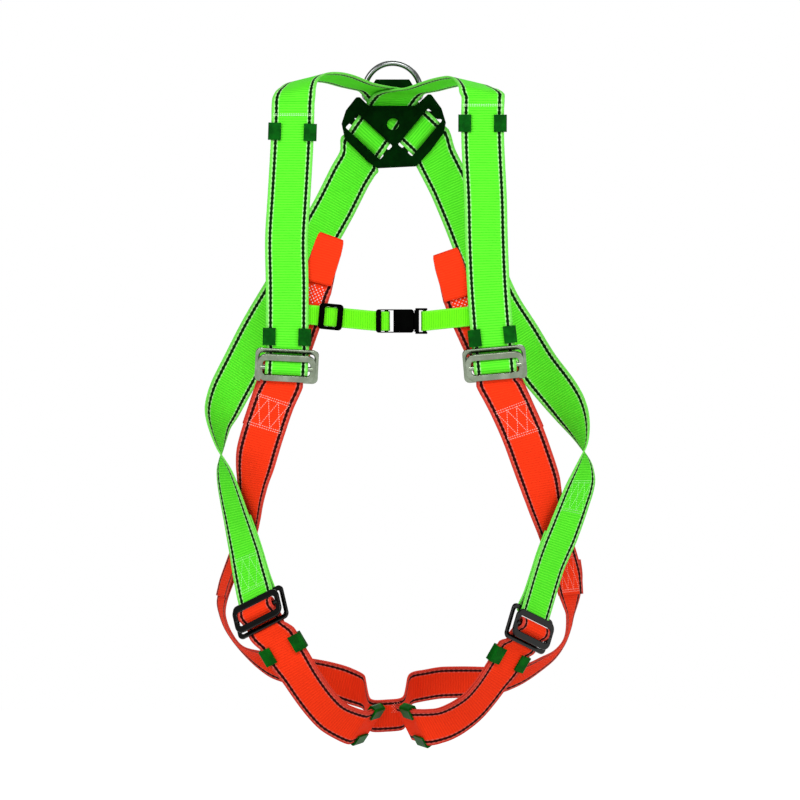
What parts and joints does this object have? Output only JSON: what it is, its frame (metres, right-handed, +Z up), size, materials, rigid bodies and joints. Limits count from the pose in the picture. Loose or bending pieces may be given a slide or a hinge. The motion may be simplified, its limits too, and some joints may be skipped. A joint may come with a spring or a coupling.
{
  "type": "safety harness",
  "caption": "Full-body fall-arrest harness of green and orange webbing with a dorsal plate and D-ring, pass-through buckles, strap keepers and a clip-fastened chest strap.",
  "frame": {"origin": "midway between the undersides of the two shoulder straps, where the harness hangs on its wearer", "axes": "+X to the viewer's right, +Y from the chest to the back, +Z up"},
  "size_m": [0.4098, 0.1992, 0.7222],
  "materials": {
    "green_webbing": "woven, matt",
    "orange_webbing": "woven, matt",
    "chest_strap_webbing": "woven, matt",
    "black_plastic": "moulded, satin",
    "dark_steel": "blackened, with bright worn edges",
    "plate_plastic": "moulded, satin",
    "ring_steel": "forged and plated",
    "keeper_plastic": "moulded, glossy"
  },
  "bodies": {
    "harness": {"webbing_left_shoulder": "green_webbing", "webbing_right_shoulder": "green_webbing", "chest_webbing_left": "orange_webbing", "chest_webbing_right": "orange_webbing", "sternal_loop_left": "orange_webbing", "sternal_loop_right": "orange_webbing", "seat_strap": "orange_webbing", "thigh_strap_left": "orange_webbing", "thigh_strap_right": "orange_webbing", "chest_strap_left": "chest_strap_webbing", "chest_strap_right": "chest_strap_webbing", "chest_clip_female": "black_plastic", "chest_clip_male": "black_plastic", "chest_left_large_frame": "dark_steel", "chest_right_large_frame": "dark_steel", "leg_left_large_frame": "dark_steel", "leg_right_large_frame": "dark_steel", "dorsal_plate": "plate_plastic"},
    "chest_strap_slider_body": {"chest_strap_slider": "black_plastic"},
    "chest_clip_upper_prong_body": {"chest_clip_upper_prong": "black_plastic"},
    "chest_clip_lower_prong_body": {"chest_clip_lower_prong": "black_plastic"},
    "chest_left_adjuster_body": {"chest_left_adjuster": "dark_steel"},
    "chest_right_adjuster_body": {"chest_right_adjuster": "dark_steel"},
    "leg_left_adjuster_body": {"leg_left_adjuster": "dark_steel"},
    "leg_right_adjuster_body": {"leg_right_adjuster": "dark_steel"},
    "d_ring_body": {"d_ring": "ring_steel"},
    "keeper_shoulder_left_upper_body": {"keeper_shoulder_left_upper": "keeper_plastic"},
    "keeper_shoulder_left_lower_body": {"keeper_shoulder_left_lower": "keeper_plastic"},
    "keeper_shoulder_right_upper_body": {"keeper_shoulder_right_upper": "keeper_plastic"},
    "keeper_shoulder_right_lower_body": {"keeper_shoulder_right_lower": "keeper_plastic"},
    "keeper_thigh_left_upper_body": {"keeper_thigh_left_upper": "keeper_plastic"},
    "keeper_thigh_left_lower_body": {"keeper_thigh_left_lower": "keeper_plastic"},
    "keeper_thigh_right_upper_body": {"keeper_thigh_right_upper": "keeper_plastic"},
    "keeper_thigh_right_lower_body": {"keeper_thigh_right_lower": "keeper_plastic"}
  },
  "joints": [
    {"name": "chest_left_adjuster_rock", "type": "hinge", "parent": "harness", "child": "chest_left_adjuster_body", "pos_m": [-0.116, -0.088, -0.302], "axis": [-0.9986, 0, 0.0523], "range_deg": [0, 5]},
    {"name": "chest_right_adjuster_rock", "type": "hinge", "parent": "harness", "child": "chest_right_adjuster_body", "pos_m": [0.101, -0.088, -0.3], "axis": [-0.9962, 0, -0.0872], "range_deg": [0, 5]},
    {"name": "leg_left_adjuster_rock", "type": "hinge", "parent": "harness", "child": "leg_left_adjuster_body", "pos_m": [-0.147, -0.06, -0.555], "axis": [0.7867, -0.4695, 0.4008], "range_deg": [0, 5]},
    {"name": "leg_right_adjuster_rock", "type": "hinge", "parent": "harness", "child": "leg_right_adjuster_body", "pos_m": [0.141, -0.06, -0.574], "axis": [0.63, 0.7071, -0.321], "range_deg": [0, 5]},
    {"name": "keeper_shoulder_left_upper_slide", "type": "slide", "parent": "harness", "child": "keeper_shoulder_left_upper_body", "axis": [0.0312, 0, 0.9995], "range_m": [-0.016, 0.016]},
    {"name": "keeper_shoulder_left_lower_slide", "type": "slide", "parent": "harness", "child": "keeper_shoulder_left_lower_body", "axis": [0.0177, 0, 0.9998], "range_m": [0, 0.003]},
    {"name": "keeper_shoulder_right_upper_slide", "type": "slide", "parent": "harness", "child": "keeper_shoulder_right_upper_body", "axis": [0.0024, 0, 1], "range_m": [-0.016, 0.01]},
    {"name": "keeper_shoulder_right_lower_slide", "type": "slide", "parent": "harness", "child": "keeper_shoulder_right_lower_body", "axis": [-0.1084, 0, 0.9941], "range_m": [-0.001, 0.003]},
    {"name": "keeper_thigh_left_upper_slide", "type": "slide", "parent": "harness", "child": "keeper_thigh_left_upper_body", "axis": [0.4998, 0.14, -0.8547], "range_m": [-0.003, 0.006]},
    {"name": "keeper_thigh_left_lower_slide", "type": "slide", "parent": "harness", "child": "keeper_thigh_left_lower_body", "axis": [0.5204, 0.8406, 0.1501], "range_m": [-0.01, 0.003]},
    {"name": "keeper_thigh_right_upper_slide", "type": "slide", "parent": "harness", "child": "keeper_thigh_right_upper_body", "axis": [-0.49, 0.16, -0.8569], "range_m": [-0.001, 0.005]},
    {"name": "keeper_thigh_right_lower_slide", "type": "slide", "parent": "harness", "child": "keeper_thigh_right_lower_body", "axis": [-0.5204, 0.8406, 0.1501], "range_m": [-0.002, 0.01]},
    {"name": "chest_strap_slider_slide", "type": "slide", "parent": "harness", "child": "chest_strap_slider_body", "axis": [0.9955, 0, -0.0946], "range_m": [-0.008, 0.016]},
    {"name": "d_ring_swing", "type": "hinge", "parent": "harness", "child": "d_ring_body", "pos_m": [-0.0058, 0.098, -0.0175], "axis": [-1, 0, 0], "range_deg": [-45, 150]},
    {"name": "chest_clip_upper_prong_press", "type": "hinge", "parent": "harness", "child": "chest_clip_upper_prong_body", "pos_m": [0.0139, -0.0824, -0.2459], "axis": [0, -1, 0], "range_deg": [0, 8], "stiffness_Nm_per_rad": 0.5},
    {"name": "chest_clip_lower_prong_press", "type": "hinge", "parent": "harness", "child": "chest_clip_lower_prong_body", "pos_m": [0.0139, -0.0824, -0.2597], "axis": [0, 1, 0], "range_deg": [0, 8], "stiffness_Nm_per_rad": 0.5}
  ],
  "couplings": [
    {"joint": "chest_clip_lower_prong_press", "follows": "chest_clip_upper_prong_press", "ratio": 1}
  ]
}
